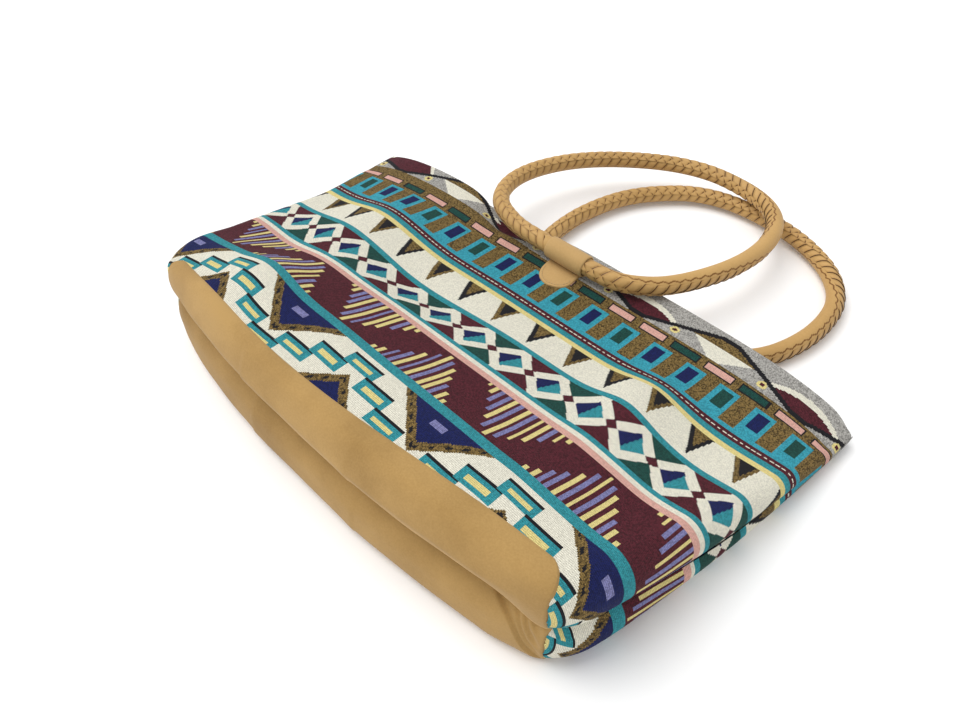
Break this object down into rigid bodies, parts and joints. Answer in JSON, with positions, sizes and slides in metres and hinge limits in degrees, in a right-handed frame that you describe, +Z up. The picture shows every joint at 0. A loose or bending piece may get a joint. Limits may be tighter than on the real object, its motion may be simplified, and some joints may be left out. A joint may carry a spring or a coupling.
{
  "type": "tote bag",
  "caption": "Wide flat tote bag lying on its back panel, with woven cloth panels, a leather base folded inwards and plaited leather ring handles held by loops.",
  "frame": {"origin": "on the flat underside of the back panel, where the bag lies on the table, midway across the bag", "axes": "+X across the bag, +Y from the base to the mouth, +Z up through the front panel"},
  "size_m": [0.441, 0.4311, 0.0796],
  "materials": {
    "suede": "matte suede",
    "woven_cloth": "woven geometric bands in cream, teal, maroon, navy and olive",
    "loop_leather": "matte suede",
    "handle_leather": "satin",
    "plait_leather": "satin, plaited"
  },
  "bodies": {
    "bag": {"base": "suede", "front_panel": "woven_cloth", "back_panel": "woven_cloth", "front_loop": "loop_leather", "back_loop": "loop_leather"},
    "front_ring": {"front_handle": "handle_leather", "front_handle_plait": "plait_leather"},
    "back_ring": {"back_handle": "handle_leather", "back_handle_plait": "plait_leather"}
  },
  "joints": [
    {"name": "front_ring_swing", "type": "hinge", "parent": "bag", "child": "front_ring", "pos_m": [0, 0.115, 0.03821], "axis": [1, 0, 0], "range_deg": [0, 170]},
    {"name": "back_ring_swing", "type": "hinge", "parent": "bag", "child": "back_ring", "pos_m": [0, 0.123, 0.0081], "axis": [1, 0, 0], "range_deg": [-160, 0]}
  ]
}
